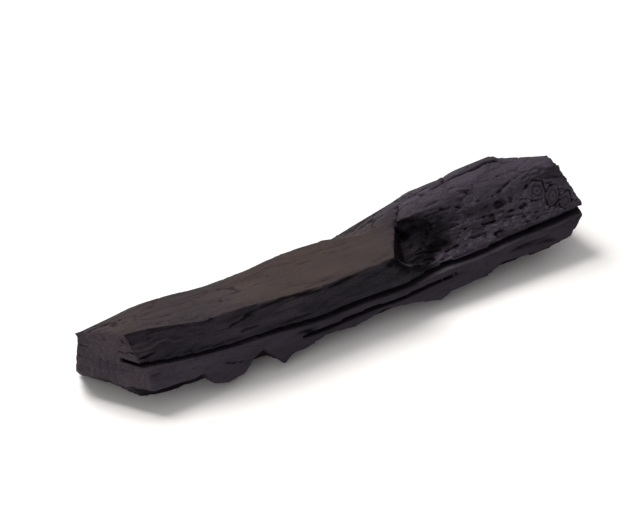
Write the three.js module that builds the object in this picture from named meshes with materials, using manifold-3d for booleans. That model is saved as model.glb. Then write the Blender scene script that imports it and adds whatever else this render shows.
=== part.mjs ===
// A lump of lumpwood charcoal: a short billet that was split from a branch, charred whole and broken at both
// ends. One solid in millimetres, +Z up. The grain runs along X, from the thin broken end at -X to the thick
// knotty head at +X. The split faces look towards -Y and +Z, and the curved face that was under the bark is at
// the back, +Y. It lies on a flat split face at z = 0, and the origin is under the middle of its bounding box.
import * as THREE from "three";
import { LoftGeometry } from "three/addons/geometries/LoftGeometry.js";
import { ImprovedNoise } from "three/addons/math/ImprovedNoise.js";
import { mergeVertices } from "three/addons/utils/BufferGeometryUtils.js";
import Module from "manifold-3d";

const wasm = await Module();
wasm.setup();

// Driving dimensions.
const LOFT_LENGTH = 168; // before the ends are broken off
const STATION = 2; // spacing of the cross sections along the grain
const ACROSS = 4; // strips on each face between two arrises
const WANDER = 0.8; // how far a split face strays from flat
const WANDER_LENGTH = [38, 11, 11]; // size of that wandering, along and across the grain
const RAIL_TOP = 20.8; // height of the rail's flat top, a face the grain split along
const CRACK_DEPTH = 9; // of the layer crack that runs along the front
const CRACK_WAVER = [0.9, 21]; // how far a crack strays up and down, and over what length
const SKIRT_FRONT = -19.5; // front of the layer that hangs below the crack
const SKIRT_BACK = -9;
const SKIRT_TILT = 0.2; // radians that the skirt leans out towards its foot
const SKIRT_HINGE = 11; // height at which it is neither in nor out
const HEAD = [16, 36]; // the stretch of x over which the rail's faces become the head's
const SCOOP_UNEVEN = [0.3, 1.5]; // how far a scoop strays from round, and how many times as it goes round
const BLOCK = 300; // side of a cutting block, larger than the lump
const MERGE = 1e-4; // points closer than this are one

// The arrises run along the grain, in order round the billet as seen from its head: the back rim of the top
// face, the front arris, and on down. Each is a line of [x, y, z] points. Crown is how far the face that
// follows it swells, on the rail and on the head.
const ARRISES = [
  {
    // back rim of the top face
    line: [[-84, 0, 20.5], [-58, 2, 21.3], [-32, 2, 19.5], [-10, 2, 21.2], [4, 0.5, 21.5], [14, -3, 21.8],
      [20, -3, 22], [29, 1, 22.5], [40, 2.5, 24], [52, 2.5, 27.2], [62, 0, 29.8], [64, -1, 28.7],
      [78, -9.5, 29.2], [84, -13, 29]],
    crown: [0.3, 1.2],
  },
  {
    // front arris of the top face, which runs back on the head as the lip of a slanting break
    line: [[-84, -9, 23.8], [-65, -13, 24.2], [-50, -17.3, 23.3], [-36, -17.6, 23], [-16, -18, 21.8],
      [8, -18.3, 21.5], [20, -17.5, 22], [26, -10, 23.4], [32, -5.5, 24.6], [44, -4.6, 26], [54, -7.5, 26.8],
      [62, -10.5, 26], [74, -13, 24.6], [84, -15, 22.5]],
    crown: [0.3, 0.4],
  },
  {
    // the front, level with the layer crack
    line: [[-84, -16, 13], [-60, -18.5, 12], [-20, -19, 11], [20, -18.8, 11], [60, -17.5, 12.5],
      [84, -17, 14]],
    crown: [-0.8, -0.8],
  },
  {
    // front edge of the face it lies on, set back under the front
    line: [[-84, -8, -1], [-50, -12, -1], [0, -13, -1], [40, -12, -1], [84, -11, -1]],
    crown: [0, 0],
  },
  {
    // back edge of the face it lies on
    line: [[-84, 5, -1], [-50, 9, -1], [0, 11, -1], [40, 11, -1], [62, 7, -1], [84, -2, -1]],
    crown: [1.2, 1.5],
  },
  {
    // belly of the bark side
    line: [[-84, 11, 5], [-50, 15, 5.5], [0, 17, 5.5], [40, 18.5, 8], [62, 13, 9], [84, 2, 10]],
    crown: [1.2, 1.5],
  },
  {
    // shoulder of the bark side
    line: [[-84, 9, 12], [-50, 11.5, 12.5], [-20, 11.5, 11.5], [14, 10.5, 11.5], [40, 13, 17], [62, 8, 18.5],
      [84, -3, 18]],
    crown: [0.6, 1.2],
  },
];

// The layer crack along the front as points of [x, height of its middle, gap], and a shorter one below it.
const LONG_CRACK = [[-80, 15.9, 1.1], [-71, 15.2, 1.1], [-56, 13.8, 1.1], [-38, 12.3, 1.3], [-16, 11.3, 1.3],
  [20, 11, 1.25], [50, 12, 1.25], [90, 14.2, 1.2]];
const SHORT_CRACK = [[-20, 7.3, 0.4], [-14, 7.7, 1.2], [18, 8.05, 1.2], [36, 8.5, 1.1], [40, 8.7, 0.4]];

// The skirt is the layer under the long crack. It hangs in front of the foot with a ragged lower edge, here as
// [x, z] points.
const SKIRT_EDGE = [
  [-72, 8], [-62, 7.6], [-55, 7], [-51.5, 7.6], [-48.5, 3.6], [-44, 2.4], [-38.5, 3.4], [-35, 6.4], [-31, 8],
  [-28, 5.2], [-25, 1.6], [-21.5, 3.4], [-16, 3.6], [-9, 5.6], [0, 4.2], [10, 6.4], [18, 5.4], [30, 3],
  [34, 4.6], [46, 4.8], [52, 7], [66, 6], [80, 8],
];

const noise = new ImprovedNoise();
const { lerp, smoothstep } = THREE.MathUtils;

function alongLine(line, x) {
  const after = line.findIndex((point) => point[0] >= x);
  const b = line[after];
  const a = line[Math.max(after - 1, 0)];
  const share = after === 0 ? 0 : (x - a[0]) / (b[0] - a[0]);
  return new THREE.Vector2(lerp(a[1], b[1], share), lerp(a[2], b[2], share));
}

// One cross section, anticlockwise as seen from the head: nearly flat faces between the arrises.
function section(x) {
  const onHead = smoothstep(x, ...HEAD);
  const corners = ARRISES.map(({ line }) => alongLine(line, x));
  const points = [];
  corners.forEach((corner, i) => {
    const face = corners[(i + 1) % corners.length].clone().sub(corner);
    const outward = new THREE.Vector2(face.y, -face.x).normalize();
    const crown = lerp(...ARRISES[i].crown, onHead);
    for (let k = 0; k < ACROSS; k++) {
      const t = k / ACROSS;
      const at = corner.clone().addScaledVector(face, t);
      const [along, acrossY, acrossZ] = WANDER_LENGTH;
      const wander = WANDER * noise.noise(x / along, at.x / acrossY, at.y / acrossZ);
      at.addScaledVector(outward, 4 * crown * t * (1 - t) + wander);
      points.push(new THREE.Vector3(x, at.x, at.y));
    }
  });
  return points;
}

function solid(geometry) {
  const bare = new THREE.BufferGeometry().copy(geometry);
  bare.deleteAttribute("normal");
  bare.deleteAttribute("uv");
  const merged = mergeVertices(bare, MERGE);
  return new wasm.Manifold(
    new wasm.Mesh({
      numProp: 3,
      vertProperties: merged.attributes.position.array,
      triVerts: new Uint32Array(merged.index.array),
    }),
  );
}

// A block with one face on the plane through a point, lying on the side its direction points to.
function block(point, direction) {
  const geometry = new THREE.BoxGeometry(BLOCK, BLOCK, BLOCK);
  geometry.translate(0, 0, BLOCK / 2);
  const towards = new THREE.Vector3(...direction).normalize();
  geometry.applyQuaternion(new THREE.Quaternion().setFromUnitVectors(new THREE.Vector3(0, 0, 1), towards));
  geometry.translate(...point);
  return solid(geometry);
}

// A slab between two lines of [x, z] points, from one depth to another, that may lean out about the skirt's
// hinge.
function slab(upper, lower, front, back, tilt = 0) {
  const ring = [...lower, ...upper.slice().reverse()];
  const outline = new THREE.Shape(ring.map(([x, z]) => new THREE.Vector2(x, z)));
  const geometry = new THREE.ExtrudeGeometry(outline, { depth: back - front, bevelEnabled: false });
  geometry.rotateX(Math.PI / 2);
  geometry.translate(0, back - front, -SKIRT_HINGE);
  geometry.rotateX(-tilt);
  geometry.translate(0, front, SKIRT_HINGE);
  return solid(geometry);
}

// A crack's line at even steps, straying up and down as the grain does.
function strayed(line) {
  const fromX = line[0][0];
  const toX = line[line.length - 1][0];
  const steps = Math.round((toX - fromX) / STATION);
  return Array.from({ length: steps + 1 }, (_, i) => {
    const x = lerp(fromX, toX, i / steps);
    const { x: middle, y: gap } = alongLine(line, x);
    return [x, middle + CRACK_WAVER[0] * noise.noise(x / CRACK_WAVER[1], 0, 0), gap];
  });
}

function billet() {
  const count = LOFT_LENGTH / STATION;
  const sections = Array.from({ length: count + 1 }, (_, i) => section(i * STATION - LOFT_LENGTH / 2));
  return solid(new LoftGeometry(sections, { capStart: true, capEnd: true }));
}

function skirt() {
  return slab(strayed(LONG_CRACK), SKIRT_EDGE, SKIRT_FRONT, SKIRT_BACK, SKIRT_TILT);
}

// The slit of a layer crack, cut in from in front of the skirt.
function crack(line, depth) {
  const upper = strayed(line).map(([x, middle, gap]) => [x, middle + gap / 2]);
  const lower = strayed(line).map(([x, middle, gap]) => [x, middle - gap / 2]);
  return slab(upper, lower, SKIRT_FRONT - CRACK_DEPTH, SKIRT_FRONT + depth);
}

// Above the rail's top the upper layer has snapped off, up to a slanting step where the head begins. Towards
// the thin end it runs out to nothing.
function lostLayer() {
  const above = block([0, 0, RAIL_TOP], [-0.012, 0.01, 1]);
  const before = block([20.5, -11, RAIL_TOP], [-0.8, 0.56, 0.3]);
  const runOut = block([-12, 0, RAIL_TOP], [0.09, 0.01, 1]);
  return above.intersect(before).intersect(runOut);
}

// An uneven scoop, turned about +Z.
function scoop(centre, radii, turn) {
  const geometry = new THREE.IcosahedronGeometry(1, 5);
  const at = new THREE.Vector3();
  const { position } = geometry.attributes;
  const [amount, count] = SCOOP_UNEVEN;
  for (let i = 0; i < position.count; i++) {
    at.fromBufferAttribute(position, i);
    at.multiplyScalar(1 + amount * noise.noise(count * at.x + 5, count * at.y, count * at.z));
    position.setXYZ(i, at.x, at.y, at.z);
  }
  geometry.scale(...radii);
  geometry.rotateZ(turn);
  geometry.translate(...centre);
  return solid(geometry);
}

// In front of that step the wood broke away in a hollow, with a clean break on the rail's side.
function hollow() {
  const deep = scoop([27, -14.5, 25.5], [17, 9.5, 12.5], -0.42);
  const rail = block([14.7, -19, RAIL_TOP], [-0.77, 0.545, -0.334]);
  return deep.subtract(rail);
}

let lump = billet().add(skirt());
lump = lump.subtract(lostLayer());
lump = lump.subtract(hollow());
lump = lump.subtract(crack(LONG_CRACK, CRACK_DEPTH));
lump = lump.subtract(crack(SHORT_CRACK, CRACK_DEPTH / 2));
// The thin end, broken obliquely to a wedge, with a chip off its lower corner.
lump = lump.subtract(block([-70.5, -17, 15], [-0.885, -0.466, 0.04]));
lump = lump.subtract(block([-80, 2, 15], [-0.8, 0.6, 0.05]));
lump = lump.subtract(block([-76, -6, 7], [-0.6, -0.25, -0.76]));
// The head's end, leaning outwards towards its foot, and a chip off that.
lump = lump.subtract(block([78, -10, 24], [0.93, 0.1, 0.35]));
lump = lump.subtract(block([77, -18, 8], [0.75, -0.2, -0.63]));
// The flat split face it lies on.
lump = lump.subtract(block([0, 0, 0], [0, 0, -1]));

function geometryOf(manifold) {
  const { vertProperties, triVerts } = manifold.getMesh();
  const geometry = new THREE.BufferGeometry();
  geometry.setAttribute("position", new THREE.BufferAttribute(vertProperties, 3));
  geometry.setIndex(new THREE.BufferAttribute(triVerts, 1));
  geometry.computeBoundingBox();
  const { min, max } = geometry.boundingBox;
  geometry.translate(-(min.x + max.x) / 2, -(min.y + max.y) / 2, -min.z);
  geometry.computeVertexNormals();
  return geometry;
}

const charcoal = new THREE.MeshStandardMaterial({ color: 0x2e2a2d, roughness: 0.8, metalness: 0 });
const mesh = new THREE.Mesh(geometryOf(lump), charcoal);
mesh.name = "charcoal_lump";

const group = new THREE.Group();
group.add(mesh);

export default group;
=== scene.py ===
# %% [markdown]
# # A lump of lumpwood charcoal
#
# A branch is split into billets, the billets are charred in a kiln with almost no air, and they break up as
# they are raked out. What is left is the wood's own shape in carbon. It splits along the grain into flat
# faces and ledges, breaks across it in rough ends that show the growth rings, and is crossed by small
# shrinkage cracks.
#
# The lump is one piece that grew as one piece, so this script makes one mesh. It starts from the solid that
# the frame holds, gives it an even skin of small faces, and moves the points of that skin the way the wood
# split.

import math

import bmesh
import bpy
import numpy as np
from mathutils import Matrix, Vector, noise
from mathutils.bvhtree import BVHTree


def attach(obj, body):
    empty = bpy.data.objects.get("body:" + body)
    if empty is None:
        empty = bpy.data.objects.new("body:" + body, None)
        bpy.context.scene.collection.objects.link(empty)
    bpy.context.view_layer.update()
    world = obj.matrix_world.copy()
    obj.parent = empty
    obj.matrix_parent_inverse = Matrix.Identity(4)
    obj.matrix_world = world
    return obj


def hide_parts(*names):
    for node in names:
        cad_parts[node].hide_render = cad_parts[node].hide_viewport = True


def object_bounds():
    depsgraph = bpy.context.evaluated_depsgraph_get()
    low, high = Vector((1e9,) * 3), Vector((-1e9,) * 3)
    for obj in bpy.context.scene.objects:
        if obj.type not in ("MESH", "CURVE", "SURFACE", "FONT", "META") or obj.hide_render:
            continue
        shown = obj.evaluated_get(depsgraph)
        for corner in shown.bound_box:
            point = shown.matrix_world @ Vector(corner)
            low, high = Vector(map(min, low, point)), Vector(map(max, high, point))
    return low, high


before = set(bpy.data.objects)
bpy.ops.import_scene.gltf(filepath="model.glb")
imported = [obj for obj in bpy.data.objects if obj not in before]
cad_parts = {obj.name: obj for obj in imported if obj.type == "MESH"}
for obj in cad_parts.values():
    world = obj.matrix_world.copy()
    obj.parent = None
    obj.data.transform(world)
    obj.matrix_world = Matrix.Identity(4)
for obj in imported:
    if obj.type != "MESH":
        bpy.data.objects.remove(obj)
cad_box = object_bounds()
low, high = (np.array(corner) for corner in cad_box)
MM = 0.001
print("The solid is", [round(side / MM, 1) for side in high - low], "mm")

# %% [markdown]
# ## An even skin
#
# The solid's triangles are long slivers beside tiny ones, and detail needs points everywhere. A voxel
# remesh covers the shape with quads of one size. It rounds sharp edges by about one voxel, which suits a
# brittle thing whose edges are never quite sharp. The voxel has to be smaller than half of a crack's width.
# Where a crack tapers to nothing its walls may still grow together.

# %% Copy the solid and remesh it
VOXEL = 0.43 * MM


def remeshed(solid, name, voxel):
    """A copy of a solid, its doubled points merged, under an even skin of quads."""
    mesh = solid.data.copy()
    bm = bmesh.new()
    bm.from_mesh(mesh)
    bmesh.ops.remove_doubles(bm, verts=bm.verts, dist=0.001 * MM)
    bm.to_mesh(mesh)
    bm.free()
    rough = bpy.data.objects.new(name + "_rough", mesh)
    bpy.context.scene.collection.objects.link(rough)
    even = rough.modifiers.new("even skin", "REMESH")
    even.mode = "VOXEL"
    even.voxel_size = voxel
    depsgraph = bpy.context.evaluated_depsgraph_get()
    skin = bpy.data.meshes.new_from_object(rough.evaluated_get(depsgraph))
    bpy.data.objects.remove(rough)
    skin.name = name
    skin.materials.clear()
    piece = bpy.data.objects.new(name, skin)
    bpy.context.scene.collection.objects.link(piece)
    return piece


lump = remeshed(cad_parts["charcoal_lump"], "lump", VOXEL)
skin = lump.data
print(len(skin.vertices), "points and", 2 * len(skin.polygons), "triangles")

# %% [markdown]
# ## Points as arrays
#
# Moving this many points one at a time is slow in Python, so their places and normals are read into arrays,
# in millimetres, and written back after each step. Every pattern below is a number for each point.

# %% Read and write the points
def places():
    flat = np.empty(3 * len(skin.vertices), np.float32)
    skin.vertices.foreach_get("co", flat)
    return flat.reshape(-1, 3).astype(float) / MM


def normals():
    flat = np.empty(3 * len(skin.vertices), np.float32)
    skin.vertices.foreach_get("normal", flat)
    return flat.reshape(-1, 3).astype(float)


def put(points):
    skin.vertices.foreach_set("co", (points * MM).astype(np.float32).ravel())
    skin.update()


point = places()
normal = normals()
print(len(point), "places and normals are read")


# %% Noise, steps and ramps
def perlin(points, lengths, seed=0.0):
    """Smooth noise from about -1 to 1 at each point, with its own wave length in mm along X, Y and Z."""
    return np.array([noise.noise(row) for row in (points / lengths + seed).tolist()])


def cell_edges(points, lengths, seed=0.0):
    """How far each point is from the nearest wall between random cells, 0 on the wall, in cell sizes."""
    rows = (points / lengths + seed).tolist()
    near = np.array([noise.voronoi(row)[0][:2] for row in rows])
    return near[:, 1] - near[:, 0]


def ramp(values, start, end):
    """0 below start, 1 above end, and a smooth rise between; start may be the larger."""
    share = np.clip((values - start) / (end - start), 0, 1)
    return share * share * (3 - 2 * share)


def ledges(points, lengths, steps, seed):
    """Stretched noise rounded to whole steps, each with a short smooth riser."""
    height = perlin(points, lengths, seed) + 0.22 * perlin(points, np.array(lengths) / 4.5, seed + 3)
    rise = height * steps
    whole = np.floor(rise)
    return whole + ramp(rise - whole, 0.8, 1.0)


print("a ramp from 0 to 1 at a third of the way is", round(float(ramp(np.array(1 / 3), 0, 1)), 3))

# %% [markdown]
# ## Where the wood differs
#
# The patterns need to know which face a point is on. The ends face along X, the bark side faces +Y, and the
# flat top of the thin end faces up. The thick end at +X is the head. Its front is a slanting break, torn
# instead of split, and deepest in the hollow next to the thin end's clean edge. The layer under the long
# crack hangs in front.

# %% Masks for the faces
HOLLOW = np.array([25.0, -13.5, 20.0])  # its middle, in mm
HOLLOW_REACH = (15, 12, 10)  # mm from its middle to its rim along X, Y and Z
# The long crack's height in mm along X.
CRACK_HEIGHT = ((-80, -56, -38, -16, 20, 50, 84), (15.9, 13.8, 12.3, 11.3, 11.0, 12.0, 13.9))


ends = ramp(np.abs(normal[:, 0]), 0.5, 0.75)
along = 1 - ends
up = ramp(normal[:, 2], 0.45, 0.85)
bark = ramp(normal[:, 1], 0.0, 0.5) * along
head = ramp(point[:, 0], 18, 34)
rail_top = up * (1 - head)
above_crack = point[:, 2] - np.interp(point[:, 0], *CRACK_HEIGHT)
from_hollow = np.linalg.norm((point - HOLLOW) / HOLLOW_REACH, axis=1)
from_hollow += 0.3 * perlin(point, (9, 2.5, 2.5), 17.0)
in_hollow = ramp(from_hollow, 1.0, 0.65) * ramp(above_crack, 0, 2) * (1 - rail_top)
layer = ramp(above_crack, 0.3, -0.5) * ramp(point[:, 1], -12.0, -15.0) * along
slant = ramp(point[:, 0], 24, 36) * ramp(normal[:, 1], -0.25, -0.6) * ramp(above_crack, 0.5, 2.5) * along
slant *= ramp(point[:, 2], 26.2, 24.2)
torn_here = np.maximum(in_hollow, slant)
print(f"{ends.mean():.3f} of the points are on the ends and {bark.mean():.3f} on the bark side")

# %% [markdown]
# Inside the layer cracks there is no room for relief, or their walls would meet. A point is inside a crack
# when most rays from it hit the other wall within 3 mm. Averaging each point with its neighbours a few
# times spreads that to the crack's lips. The clean break at the end of the rail is kept calm too, so that
# its edge stays crisp.

# %% Cast rays and average neighbours
def openness(tilts, reach, around=None):
    """The share of a fan of rays, tilted from the point's normal or from another way, that hit nothing."""
    tree = BVHTree.FromPolygons(point.tolist(), [tuple(polygon.vertices) for polygon in skin.polygons])
    spins = 4
    fan = []
    for tilt in tilts:
        for spin in range(spins):
            angle = 2 * math.pi * (spin + 0.3) / spins
            out = math.sin(tilt)
            fan.append(Vector((out * math.cos(angle), out * math.sin(angle), math.cos(tilt))))
    free = np.zeros(len(point))
    for i, (place, facing) in enumerate(zip(point, normal)):
        facing = Vector(facing)
        start = Vector(place) + facing * 0.15
        turn = (around or facing).to_track_quat("Z", "Y")
        free[i] = sum(tree.ray_cast(start, turn @ ray, reach)[0] is None for ray in fan)
    return free / len(fan)


def neighbour_mean(values):
    edge = np.empty(2 * len(skin.edges), np.int32)
    skin.edges.foreach_get("vertices", edge)
    a, b = edge.reshape(-1, 2).T
    total = np.zeros_like(values)
    np.add.at(total, a, values[b])
    np.add.at(total, b, values[a])
    count = np.bincount(a, minlength=len(values)) + np.bincount(b, minlength=len(values))
    return total / count[:, None]


def smoothed(values, rounds):
    for _ in range(rounds):
        values = neighbour_mean(values)
    return values


# %% Room to move
CRACK_REACH = 3.0  # mm that a ray may go before the place counts as open
RAIL_END = np.array([0.77, -0.545, 0.334])  # which way the clean break at the rail's end faces

free = ramp(smoothed(openness([math.radians(35)], CRACK_REACH)[:, None], 5)[:, 0], 0.62, 0.98)
clean_break = ramp(normal @ RAIL_END, 0.75, 0.92) * ramp(point[:, 0], 25, 22)
room = free * (1 - 0.8 * clean_break)
print("share of points in the cracks", round(float((free < 0.5).mean()), 3))

# %% [markdown]
# ## Knots bend the grain
#
# Where a twig left the branch, the fibres flow round it as water flows round a post. The grain patterns are
# sampled at a shifted place: a point near the knot reads the pattern from further in, by R squared over
# distance squared, which is the flow past a cylinder. Inside the knot the rings show end on. No twig is
# quite round, so noise makes each knot's outline uneven.

# %% The knots on the head
# Each knot's centre, axis and radius, in mm.
KNOTS = [((67.4, -12.0, 22.4), (0.0, -0.88, 0.48), 2.4), ((71.9, -13.2, 20.4), (0.0, -0.92, 0.39), 2.1),
         ((75.6, -14.2, 18.2), (0.0, -0.94, 0.35), 1.7)]


def round_knot(points, centre, axis, radius):
    """Shifts places so that a pattern along X flows round the knot. Also gives the distance from its axis."""
    axis = np.array(axis) / np.linalg.norm(axis)
    side = np.cross(axis, (1.0, 0.0, 0.0))
    side /= np.linalg.norm(side)
    away = points - centre
    across = away @ side
    flat = away - np.outer(away @ axis, axis)
    distance = np.linalg.norm(flat, axis=1)
    depth = np.abs(away @ axis)
    near = ramp(depth, 9.0, 5.0)
    pull = across * radius**2 / np.maximum(distance, radius) ** 2
    return points - np.outer(pull * near, side), distance + 100 * (depth > 8)


grain_at = point.copy()
knot_distance = np.full(len(point), 1e3)
for centre, axis, radius in KNOTS:
    grain_at, distance = round_knot(grain_at, centre, axis, radius)
    knot_distance = np.minimum(knot_distance, distance / radius)
knot_distance *= 1 + 0.4 * perlin(point, (3.2, 2.6, 2.6), 15.0) + 0.25 * perlin(point, (1.5, 1.3, 1.3), 16.0)
knot = ramp(knot_distance, 1.4, 0.9)
print(len(KNOTS), "knots cover", int((knot > 0.5).sum()), "points")

# %% [markdown]
# ## Ledges and fibres
#
# A split runs along one layer of the wood, then jumps to the next, so a split face is a set of long low
# ledges with ragged ends. Rounding a stretched noise to whole steps gives them. Finer noise, stretched even
# more, gives the bundles of fibres. Both fade out on the broken ends, where the fibres stand end on.

# %% Ledges
LEDGE = 0.42  # mm from one ledge to the next
FIBRE = 0.14  # mm that a bundle of fibres stands out

smooth_split = np.maximum(rail_top, up * (1 - torn_here))
ledge = ledges(grain_at, (46, 7, 7), 3.2, 11.0)
ledge_size = LEDGE * along * (1 - 0.55 * smooth_split) * (1 - knot)
bundle = perlin(grain_at, (30, 1.7, 1.7), 5.0) + 0.5 * perlin(grain_at, (17, 0.9, 0.9), 8.0)
fibre_size = FIBRE * along * (1 - 0.4 * smooth_split) * (1 - knot)
move = ledge * ledge_size + bundle * fibre_size
print("the ledges span", round(float(np.ptp(ledge)), 1), "steps")

# %% [markdown]
# ## Grooves and shrinkage checks
#
# Wood loses a quarter of its width or so as it chars. Long grooves open along the grain. On the bark side
# short checks cross it too, so the skin breaks up into bricks drawn out lengthways, like the outside of any
# burnt log. Walls between random cells make both, read at places that a little noise has pushed about, so
# no wall is straight.

# %% Grooves and checks
GROOVE = 0.8
CHECK = 0.7

groove_line = 1 - np.abs(perlin(grain_at, (38, 3.4, 3.4), 21.0))
groove_here = ramp(perlin(point, (24, 9, 9), 31.0), 0.05, 0.3)
groove = ramp(groove_line, 0.93, 0.99) * groove_here * along * (1 - 0.85 * smooth_split) * (1 - 0.7 * slant)

shaken = grain_at + 1.1 * np.column_stack([perlin(point, (3.5, 2, 2), seed) for seed in (33.0, 35.0, 37.0)])
check_edge = cell_edges(shaken, (17.0, 4.6, 4.6), 3.0)
check_width = 0.08 * ramp(perlin(point, (26, 10, 10), 41.0), -0.5, 0.4)
check = ramp(check_edge, check_width + 0.02, check_width * 0.3) * ramp(check_width, 0.005, 0.035)
check = check * along * np.maximum(bark, 0.25 * head * (1 - torn_here))
move = move - GROOVE * groove - CHECK * check
print(f"grooves take {(groove > 0.5).mean():.3f} of the points and checks {(check > 0.5).mean():.3f}")

# %% [markdown]
# ## Broken ends
#
# An end breaks as a bundle of fibres does: each little group snaps at its own length, the dense summer wood
# of a growth ring stands a little proud, and checks run out from the pith like spokes. This billet was
# split from a thick branch, so its pith lies outside it, in front.

# %% Rings and spokes
PITH_Y, PITH_Z = -48.0, 13.0
RING = 2.1  # mm of growth in a year
TUFT, RING_STEP, SPOKE = 0.45, 0.12, 0.45  # mm of height or depth

from_pith = np.hypot(point[:, 1] - PITH_Y, point[:, 2] - PITH_Z)
spoke_angle = np.arctan2(point[:, 2] - PITH_Z, point[:, 1] - PITH_Y)
wobble = perlin(point, (12, 14, 14), 51.0)
ring = 0.5 + 0.5 * np.cos(2 * math.pi * (from_pith / RING + 0.6 * wobble))
spoke_place = np.column_stack([spoke_angle * 14, from_pith / 18, np.sign(point[:, 0]) * 4])
spoke = ramp(np.abs(perlin(spoke_place, (1, 1, 1), 61.0)), 0.1, 0.02)
spoke *= ramp(perlin(point, (12, 12, 12), 63.0), 0.0, 0.35)
tuft = perlin(point, (9, 3.6, 3.6), 71.0) + 0.3 * perlin(point, (4, 1.4, 1.4), 73.0)
move = move + ends * (TUFT * tuft - RING_STEP * ring**2 - SPOKE * spoke)
print("the ends show", round(float(np.ptp(from_pith[ends > 0.5]) / RING)), "growth rings")

# %% [markdown]
# ## Torn wood
#
# In the hollow and on the head's slanting break the fibres were torn, not split. They end in short
# splintery steps, and shallow marks show where a flake came out. The hollow has coarser steps as well, since
# whole layers let go there.

# %% Torn fibres
SPLINTER_STEP, CRUMB, HOLLOW_STEP, FLAKE = 0.34, 0.26, 0.8, 0.6  # mm of height or depth

splinter = ledges(grain_at, (11, 3.2, 3.2), 3.0, 101.0)
crumb = perlin(point, (2.6, 1.6, 1.6), 103.0)
move = move + torn_here * (1 - knot) * (SPLINTER_STEP * splinter + CRUMB * crumb)

step = ledges(grain_at, (13, 4.5, 4.5), 2.2, 131.0)
move = move + HOLLOW_STEP * in_hollow * step

flake = ramp(perlin(point, (4.5, 2.8, 2.8), 91.0), 0.42, 0.54)
move = move - FLAKE * flake * torn_here * (1 - knot)
print(f"{(torn_here > 0.5).mean():.3f} of the points are on torn wood")

# %% [markdown]
# ## Knots and pits
#
# A knot is a plug of rings that stands a little proud in a crack that is open for part of the way round.
# Three pits are left where splinters fell out, and noise makes their outlines ragged. The layer in front split
# off cleanly, so the relief so far is halved there.

# %% Knot rings and pits
KNOT_RISE, KNOT_RING, KNOT_CRACK = 0.3, 0.3, 0.45  # mm of height or depth
# Each pit's centre, radius and depth, in mm.
PITS = [((50.4, -11.9, 18.8), 1.4, 0.5), ((56.0, -10.7, 21.7), 1.5, 0.35), ((52.6, -15.1, 14.9), 1.7, 0.9)]

ragged = 1 + 0.7 * perlin(point, (2.8, 1.7, 1.7), 95.0)
pit = np.zeros(len(point))
for centre, radius, depth in PITS:
    away = np.linalg.norm((point - centre) / (1.5, 1, 1), axis=1) / radius * ragged
    pit = np.maximum(pit, depth * ramp(away, 1.0, 0.7) * slant)
move = move - pit

broken = ramp(perlin(point, (3.5, 3, 3), 81.0), -0.35, 0.1)
knot_ring = 0.5 + 0.5 * np.cos(2 * math.pi * knot_distance * 1.6)
knot_rim = ramp(np.abs(knot_distance - 1.15), 0.18, 0.04)
move = move + along * (KNOT_RISE * knot - KNOT_RING * knot * knot_ring**3 - KNOT_CRACK * broken * knot_rim)
move = move * (1 - 0.5 * layer)
print(len(PITS), "pits, the deepest", round(float(pit.max()), 2), "mm")

# %% [markdown]
# ## A lifting splinter
#
# Along the head's back rim a long thin splinter has started to part from the wood. A groove along a path, on
# the faces that look up, shows where, and the material paints it dark, a painted shade.

# %% The splinter's groove
PARTING = 1.0  # mm deep
# Its path over the top, as X and Y in mm.
SPLINTER = np.array([(36.0, 1.4), (44.0, 1.7), (51.0, 0.6), (57.0, 0.2), (61.5, -1.4)])

path_y = np.interp(point[:, 0], SPLINTER[:, 0], SPLINTER[:, 1]) + 0.5 * perlin(point, (5, 50, 50), 111.0)
path_share = (point[:, 0] - SPLINTER[0, 0]) / (SPLINTER[-1, 0] - SPLINTER[0, 0])
path_width = 0.75 * ramp(path_share, 0.0, 0.35) * ramp(path_share, 1.02, 0.97)
parting = ramp(np.abs(point[:, 1] - path_y), path_width, path_width * 0.4 - 0.01)
parting *= ramp(path_width, 0.05, 0.3) * up
move = move - PARTING * parting
print("the groove runs over", int((parting > 0.5).sum()), "points")

# %% Move the points
move = move * room
point = point + normal * move[:, None]
point[:, 2] = np.maximum(point[:, 2], 0)
put(point)
print("points moved by up to", round(float(np.abs(move).max()), 2), "mm")

# %% [markdown]
# ## Chipped edges
#
# Charcoal is brittle, so its edges lose flakes that leave small scallops, longer along the grain. Each one
# is a ball pressed into the edge: points inside the ball are pushed out to its surface. The balls go where
# the skin is most convex, which is found by comparing each point with the middle of its neighbours after
# some smoothing.

# %% Find the edges and chip them
CHIPS = 150
GRAIN_STRETCH = np.array([1.8, 1.0, 1.0])

soft = smoothed(point, 12)
normal = normals()
convex = np.einsum("ij,ij->i", point - soft, normal)
random = np.random.default_rng(7)
candidates = np.flatnonzero((convex > 0.35) & (point[:, 2] > 1.5) & (room > 0.99) & (layer < 0.2))
chipped = np.zeros(len(point))
whole = point.copy()
for pick in random.choice(candidates, CHIPS, replace=False):
    ball = random.uniform(1.0, 3.5)
    depth = random.uniform(0.1, 0.4)
    outwards = whole[pick] - soft[pick]
    outwards /= np.linalg.norm(outwards)
    away = (point - whole[pick]) / GRAIN_STRETCH - outwards * (ball - depth)
    distance = np.linalg.norm(away, axis=1)
    inside = distance < ball
    point[inside] += away[inside] * (ball / distance[inside] - 1)[:, None] * GRAIN_STRETCH
    chipped[inside] = np.maximum(chipped[inside], ramp(ball - distance[inside], 0.04, 0.12))
put(point)
print(CHIPS, "chips from", len(candidates), "edge points")
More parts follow.
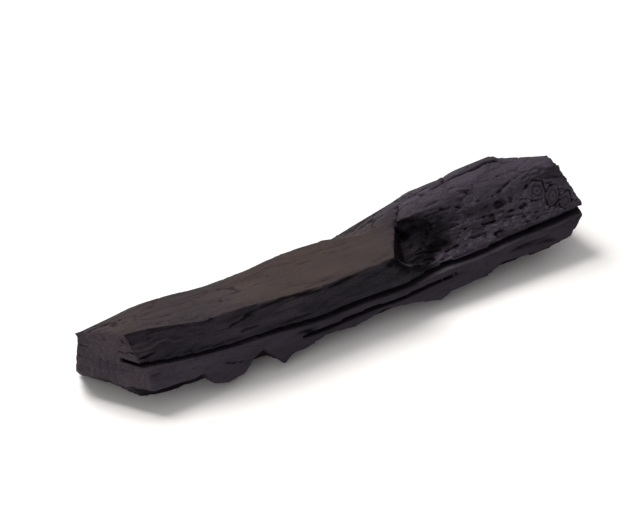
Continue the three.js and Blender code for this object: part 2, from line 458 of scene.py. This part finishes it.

# %% [markdown]
# ## What the material needs to know
#
# Five numbers are stored on the points, and the material reads them by name. The first is where brown
# dust lies, on the open flat top and more thinly on the thin end's break. The second is a paler grey film:
# ash on the head's slanting break, the layer in front, the thin end and under the dust, and a painted sheen
# on the head's top faces and in patches on the rail's front. The third holds how deep a point sits below
# its surroundings, how shut in it is, and the cracks, grooves, pits and the hollow, and paints them dark, a
# painted shade. The fourth is where a break is new and the bare char is blacker, and it is painted shade in
# the hollow. The fifth is where wood was torn, so that some of its cell walls are glossier and are painted
# pale, a painted glint.

# %% Measure what is sunk and what is open
normal = normals()
soft = smoothed(point, 8)
sunk = np.einsum("ij,ij->i", soft - point, normal)
# The sky is how open a point is upwards, and crevice how shut in it is within 5 mm. Dust and ash are kept off
# places shut from the sky or sunk, partly where dust can't settle and partly as painted shade.
sky = ramp(openness([math.radians(20), math.radians(55)], 60.0, around=Vector((0, 0, 1))), 0.45, 0.95)
crevice = 1 - openness([math.radians(40)], 5.0)
exposed = sky * ramp(sunk, 0.25, 0.0)
on_top = ramp(normal[:, 2], 0.3, 0.95)
# These places are painted dark: grooves, checks, the splinter's groove, the hollow, pits, the knot's cracks
# and crevices. The darkness is painted shade.
in_crack = np.maximum.reduce([0.8 * groove, 0.9 * check, 0.9 * parting, 0.75 * in_hollow, 0.6 * pit,
                              0.45 * knot_rim * broken, crevice])
not_sunk = ramp(sunk, 0.25, 0.0)
print(f"{(in_crack > 0.5).mean():.3f} of the points are in a crack or a crevice")

# %% Where ash and dust lie
SHADED_PATCH = (45.0, -8.5, 21.2)  # the middle of a patch of the slanting break that gets less of the grey film, a painted shade

knot_grain = knot * ramp(knot_ring, 0.6, 0.1)
low_or_far = np.maximum(ramp(above_crack, 9, 3), ramp(point[:, 0], 56, 68))
from_shaded_patch = np.linalg.norm((point - SHADED_PATCH) / (9, 6, 5), axis=1) + 0.4 * perlin(point, (7, 3, 3), 19.0)
on_break = slant * (0.8 + 0.2 * low_or_far) * (1 - 0.5 * ramp(from_shaded_patch, 1.0, 0.4))
on_break = on_break * (1 - 0.6 * knot) + 0.7 * knot_grain
# On the head's top faces open to the sky the grey film is a painted sheen, lighter because of how they face;
# on the slanting break it is a paler film.
on_head = head * not_sunk * np.maximum(on_top * sky * (1 - 0.2 * torn_here), on_break)
on_layer = layer * not_sunk * (0.4 + 0.4 * ramp(point[:, 0], -20, -60))
on_end = 0.8 * ends * not_sunk * ramp(point[:, 0], 0, -40)
# Pale grey patches on the rail's front are a painted sheen.
on_front = 0.35 * ramp(perlin(point, (15, 6, 6), 125.0), 0.08, 0.42) * not_sunk * (1 - bark)
on_rail = np.maximum(on_front, 0.3 * on_top * exposed) * along * (1 - head)
settled = 0.62 + 0.38 * ramp(np.abs(point[:, 0] + 10), 34, 8) + 0.2 * perlin(point, (16, 7, 7), 121.0)
on_lump = np.maximum.reduce([on_head * (1 - in_hollow), on_layer, on_end, on_rail])
dusted = np.maximum(on_top * exposed * settled * (1 - 0.85 * head), 0.4 * on_end)
low_torn = torn_here * (1 - in_hollow) * (1 - knot) * (0.3 + 0.7 * ramp(above_crack, 10, 4))
print(f"ash covers {(on_lump > 0.3).mean():.3f} of the points and dust {(dusted > 0.3).mean():.3f}")


# %% Store the masks
def store(name, values):
    attribute = skin.attributes.new(name, "FLOAT", "POINT")
    attribute.data.foreach_set("value", np.clip(values, 0, 1).astype(np.float32))


store("dust", dusted)
store("ash_and_sheen", on_lump)
# This mask paints cracks, crevices, the hollow and sunk places dark, a painted shade.
store("sunk_shade", np.maximum(ramp(sunk, 0.06, 0.4), in_crack))
# New breaks are blacker; the hollow's part of this mask is painted shade.
store("fresh_and_shade", np.maximum(0.3 * chipped, in_hollow))
store("torn", np.maximum(low_torn, 0.3 * ends))

for polygon in skin.polygons:
    polygon.use_smooth = True
print("stored", [name for name in ("dust", "ash_and_sheen", "sunk_shade", "fresh_and_shade", "torn") if name in skin.attributes])

# %% [markdown]
# ## Fewer triangles where nothing shows
#
# The flat underside and the walls of the cracks have as many faces as the rest, and need hardly any.
# Decimation merges faces where that moves the surface least, so it takes most of them from there. It keeps
# the stored masks.

# %% Thin the skin
MOST_TRIANGLES = 190000

thin = lump.modifiers.new("thin", "DECIMATE")
thin.ratio = min(1.0, MOST_TRIANGLES / (2 * len(skin.polygons)))
depsgraph = bpy.context.evaluated_depsgraph_get()
dense = skin
skin = bpy.data.meshes.new_from_object(lump.evaluated_get(depsgraph))
lump.modifiers.clear()
lump.data = skin
bpy.data.meshes.remove(dense)
skin.name = "lump"
triangles = sum(polygon.loop_total - 2 for polygon in skin.polygons)
print(len(skin.vertices), "points and", triangles, "triangles are left")

# %% [markdown]
# ## Charred wood
#
# Charcoal is porous carbon. Its walls absorb nearly all light and carbon has a high index of refraction,
# near 2, so what the eye sees is mostly a soft grey sheen on smooth walls, and black between them. So little
# of the surface is smooth wall that the sheen is set well below what solid carbon would have. Dust from
# rubbing against other lumps lies on the faces that look up as a warm grey film.

# %% Colours and a node helper
def linear(hex_colour):
    """An sRGB hex colour as linear RGBA."""
    parts = [int(hex_colour[i : i + 2], 16) / 255 for i in (1, 3, 5)]
    return (*[c / 12.92 if c <= 0.04045 else ((c + 0.055) / 1.055) ** 2.4 for c in parts], 1.0)


def add(tree, kind, inputs=(), **settings):
    """A new node with its settings, and its inputs given as values or as sockets to link."""
    made = tree.nodes.new(kind)
    for name, value in settings.items():
        setattr(made, name, value)
    for name, value in dict(inputs).items():
        if isinstance(value, bpy.types.NodeSocket):
            tree.links.new(value, made.inputs[name])
        else:
            made.inputs[name].default_value = value
    return made


def new_material(name):
    material = bpy.data.materials.new(name)
    material.use_nodes = True
    material.node_tree.nodes.clear()
    return material, material.node_tree


# %% The charcoal's coordinates and patterns
charcoal, wood = new_material("charred wood")
place = add(wood, "ShaderNodeTexCoord").outputs["Object"]
PER_MM = 1 / MM
# In these coordinates 1 is a millimetre across the grain, and 8 mm or 2 mm along it. A noise's scale is 1
# over its size: streaks 0.9 mm wide, fibres 0.35, patches 9, specks 0.45 and grit 0.3.
grain = add(wood, "ShaderNodeMapping", {"Vector": place, "Scale": (PER_MM / 8, PER_MM, PER_MM)}).outputs[0]
blot = add(wood, "ShaderNodeMapping", {"Vector": place, "Scale": (PER_MM / 2, PER_MM, PER_MM)}).outputs[0]

streaks = add(wood, "ShaderNodeTexNoise", {"Vector": grain, "Scale": 1.1, "Detail": 3.0}).outputs["Fac"]
fibres = add(wood, "ShaderNodeTexNoise", {"Vector": grain, "Scale": 2.9, "Detail": 2.0}).outputs["Fac"]
patches = add(wood, "ShaderNodeTexNoise", {"Vector": blot, "Scale": 0.11, "Detail": 4.0}).outputs["Fac"]
speckle = add(wood, "ShaderNodeTexNoise", {"Vector": blot, "Scale": 2.2, "Detail": 2.0}).outputs["Fac"]
grit = add(wood, "ShaderNodeTexNoise", {"Vector": blot, "Scale": 3.3, "Detail": 2.0}).outputs["Fac"]

dust = add(wood, "ShaderNodeAttribute", attribute_name="dust").outputs["Fac"]
ash_and_sheen = add(wood, "ShaderNodeAttribute", attribute_name="ash_and_sheen").outputs["Fac"]
sunk_shade = add(wood, "ShaderNodeAttribute", attribute_name="sunk_shade").outputs["Fac"]
fresh_and_shade = add(wood, "ShaderNodeAttribute", attribute_name="fresh_and_shade").outputs["Fac"]
torn = add(wood, "ShaderNodeAttribute", attribute_name="torn").outputs["Fac"]
print(len(wood.nodes), "nodes read the place and the masks")

# %% [markdown]
# The colour is built up in films. Bare char is a purple black with slate streaks along the grain. Brown
# dust and a grey film lie over it in patches, worn through in specks; the grey film is ash in some places
# and a painted sheen in others. Where the wood was torn, small random cells stand for the cut-open cell
# walls, and the highest few of them are painted pale, a painted glint. New breaks are darker, and cracks,
# crevices and the hollow are painted darker still, a painted shade.

# %% Colour
CHAR = "#130e16"
SLATE = "#211b25"
DUST = "#41352f"
# Ash, and a painted sheen on the head's top faces and the rail's front patches.
ASH_AND_SHEEN = "#433b46"
# A pale colour for the glinting cell walls, a painted glint.
GLINT_PAINT = "#6e6674"
# Blacker char for new breaks, also used as painted shade in the hollow.
BREAK_AND_SHADE = "#120d13"
# Near black for cracks, crevices and the hollow, a painted shade.
CREVICE_SHADE = "#040305"

streaky = add(wood, "ShaderNodeMapRange", {"Value": streaks, "From Min": 0.38, "From Max": 0.66}).outputs[0]
bare = add(wood, "ShaderNodeMix", {0: streaky, 6: linear(CHAR), 7: linear(SLATE)},
           data_type="RGBA").outputs[2]

patchy = add(wood, "ShaderNodeMapRange", {"Value": patches, "From Min": 0.3, "From Max": 0.6,
                                          "To Min": 0.45}).outputs[0]
specky = add(wood, "ShaderNodeMapRange", {"Value": speckle, "From Min": 0.35, "From Max": 0.6,
                                          "To Min": 0.55}).outputs[0]
worn = add(wood, "ShaderNodeMath", {0: patchy, 1: specky}, operation="MULTIPLY").outputs[0]
ash_and_sheen_film = add(wood, "ShaderNodeMath", {0: ash_and_sheen, 1: worn}, operation="MULTIPLY").outputs[0]
dusty = add(wood, "ShaderNodeMath", {0: dust, 1: worn}, operation="MULTIPLY").outputs[0]
filmed = add(wood, "ShaderNodeMix", {0: ash_and_sheen_film, 6: bare, 7: linear(ASH_AND_SHEEN)}, data_type="RGBA").outputs[2]
filmed = add(wood, "ShaderNodeMix", {0: dusty, 6: filmed, 7: linear(DUST)}, data_type="RGBA").outputs[2]

# Real cell walls are far too fine to see from here, so these cells are drawn about half a millimetre across.
walls = add(wood, "ShaderNodeTexVoronoi", {"Vector": blot, "Scale": 2.1})
flat_wall = add(wood, "ShaderNodeSeparateColor", {"Color": walls.outputs["Color"]}).outputs[0]
glint = add(wood, "ShaderNodeMapRange", {"Value": flat_wall, "From Min": 0.78, "From Max": 0.96}).outputs[0]
glint = add(wood, "ShaderNodeMath", {0: glint, 1: torn}, operation="MULTIPLY").outputs[0]
# The highest cells on torn wood are painted pale, a painted glint.
glint_paint_share = add(wood, "ShaderNodeMath", {0: glint, 1: 0.3}, operation="MULTIPLY").outputs[0]
filmed = add(wood, "ShaderNodeMix", {0: glint_paint_share, 6: filmed, 7: linear(GLINT_PAINT)}, data_type="RGBA").outputs[2]

# New breaks are blacker, and the hollow is darkened here too, a painted shade.
fresh_and_shade_share = add(wood, "ShaderNodeMath", {0: fresh_and_shade, 1: 0.8}, operation="MULTIPLY").outputs[0]
# Cracks, crevices, the hollow and sunk places are mixed towards near black, a painted shade.
crevice_shade_share = add(wood, "ShaderNodeMath", {0: sunk_shade, 1: 0.9}, operation="MULTIPLY").outputs[0]
colour = add(wood, "ShaderNodeMix", {0: fresh_and_shade_share, 6: filmed, 7: linear(BREAK_AND_SHADE)},
             data_type="RGBA").outputs[2]
colour = add(wood, "ShaderNodeMix", {0: crevice_shade_share, 6: colour, 7: linear(CREVICE_SHADE)},
             data_type="RGBA").outputs[2]
print("colours from crevice to grain:", CREVICE_SHADE, BREAK_AND_SHADE, CHAR, SLATE, DUST, ASH_AND_SHEEN, GLINT_PAINT)

# %% [markdown]
# Bare char has a soft sheen, and dust takes it away. The pale cell walls lie flat enough to glint, so they
# are glossier. In crevices the specular level is turned down, as if only black walls were mirrored there, a
# painted shade on the sheen.

# %% Gloss
SHEEN_OPEN, SHEEN_DEEP = 0.16, 0.02  # specular level on open walls and deep in a crack

sheen = add(wood, "ShaderNodeMapRange", {"Value": speckle, "From Min": 0.35, "From Max": 0.65, "To Min": 0.5,
                                         "To Max": 0.8}).outputs[0]
film = add(wood, "ShaderNodeMath", {0: ash_and_sheen_film, 1: dusty}, operation="MAXIMUM").outputs[0]
rough = add(wood, "ShaderNodeMix", {0: film, 2: sheen, 3: 0.9}, data_type="FLOAT").outputs[0]
rough = add(wood, "ShaderNodeMix", {0: glint, 2: rough, 3: 0.3}, data_type="FLOAT").outputs[0]
# The specular level falls with the mask of cracks and crevices, a painted shade on the sheen.
mirror = add(wood, "ShaderNodeMapRange", {"Value": sunk_shade, "To Min": SHEEN_OPEN,
                                          "To Max": SHEEN_DEEP}).outputs[0]
print("the specular level falls from", SHEEN_OPEN, "in the open to", SHEEN_DEEP, "in crevices")

# %% [markdown]
# The finest relief, fibres and grit too small for the mesh, only tilts the light.

# %% Relief and the shader
RELIEF = 0.25 * MM

relief = add(wood, "ShaderNodeMath", {0: fibres, 1: grit}, operation="ADD").outputs[0]
tilted = add(wood, "ShaderNodeBump", {"Height": relief, "Strength": 0.75, "Distance": RELIEF}).outputs[0]
char = add(wood, "ShaderNodeBsdfPrincipled", {"Base Color": colour, "Roughness": rough,
                                              "Specular IOR Level": mirror, "Normal": tilted})
add(wood, "ShaderNodeOutputMaterial", {"Surface": char.outputs[0]})

skin.materials.append(charcoal)
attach(lump, "root")
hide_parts("charcoal_lump")
print("the charcoal's material has", len(wood.nodes), "nodes")

# %% [markdown]
# ## Studio
#
# A black object on a white ground needs one broad soft light, high and a little behind, so that faces that
# look up are clearly lighter than faces that look forward. The floor is a big pale sheet that runs out of
# view.

# %% Floor
def floor():
    mesh = bpy.data.meshes.new("floor")
    bm = bmesh.new()
    bmesh.ops.create_grid(bm, x_segments=1, y_segments=1, size=4.0)
    bm.to_mesh(mesh)
    bm.free()
    sheet = bpy.data.objects.new("floor", mesh)
    bpy.context.scene.collection.objects.link(sheet)
    material, tree = new_material("pale floor")
    shader = add(tree, "ShaderNodeBsdfPrincipled", {"Base Color": linear("#ece9e6"), "Roughness": 0.8})
    add(tree, "ShaderNodeOutputMaterial", {"Surface": shader.outputs[0]})
    mesh.materials.append(material)
    return sheet


print("the floor is", round(floor().dimensions.x, 1), "m wide")


# %% Light
def area_light(name, place, size, power, target):
    light = bpy.data.lights.new(name, "AREA")
    light.size = size
    light.energy = power
    lamp = bpy.data.objects.new(name, light)
    lamp.location = place
    lamp.rotation_euler = (Vector(target) - Vector(place)).to_track_quat("-Z", "Y").to_euler()
    bpy.context.scene.collection.objects.link(lamp)


middle = tuple((low + high) / 2)
area_light("key", (-0.2, 0.4, 0.85), 0.5, 10.0, middle)
area_light("fill", (-0.8, -0.6, 0.5), 0.6, 2.0, middle)

world = bpy.data.worlds.new("studio")
world.use_nodes = True
world.node_tree.nodes["Background"].inputs["Color"].default_value = linear("#f4f4f6")
world.node_tree.nodes["Background"].inputs["Strength"].default_value = 0.55
bpy.context.scene.world = world
bpy.context.scene.view_settings.view_transform = "Standard"
print("lights:", [light.name for light in bpy.data.lights])

# %% [markdown]
# ## Camera
#
# A long lens from well back keeps the grain lines nearly parallel. The camera looks from the front left and
# above, so that the flat top, the front with its crack, the thin end and the knotty head all show.

# %% Camera
AZIMUTH, ELEVATION = math.radians(-35), math.radians(32)
LENS, SENSOR = 630.0, 36.0
FRAME_WIDTH = 0.182  # what the picture spans at the lump, in metres

level = math.cos(ELEVATION)
towards = Vector((math.sin(AZIMUTH) * level, -math.cos(AZIMUTH) * level, math.sin(ELEVATION)))
target = Vector(middle)
camera_data = bpy.data.cameras.new("camera")
camera_data.lens = LENS
camera_data.sensor_width = SENSOR
camera = bpy.data.objects.new("camera", camera_data)
camera.location = target + towards * (FRAME_WIDTH * LENS / SENSOR)
camera.rotation_euler = (-towards).to_track_quat("-Z", "Y").to_euler()
bpy.context.scene.collection.objects.link(camera)
bpy.context.scene.camera = camera
print("the camera stands", round(FRAME_WIDTH * LENS / SENSOR, 2), "m away")

# %% [markdown]
# ## Finish
#
# The view layer is brought up to date at the end.

# %% Finish
bpy.context.view_layer.update()
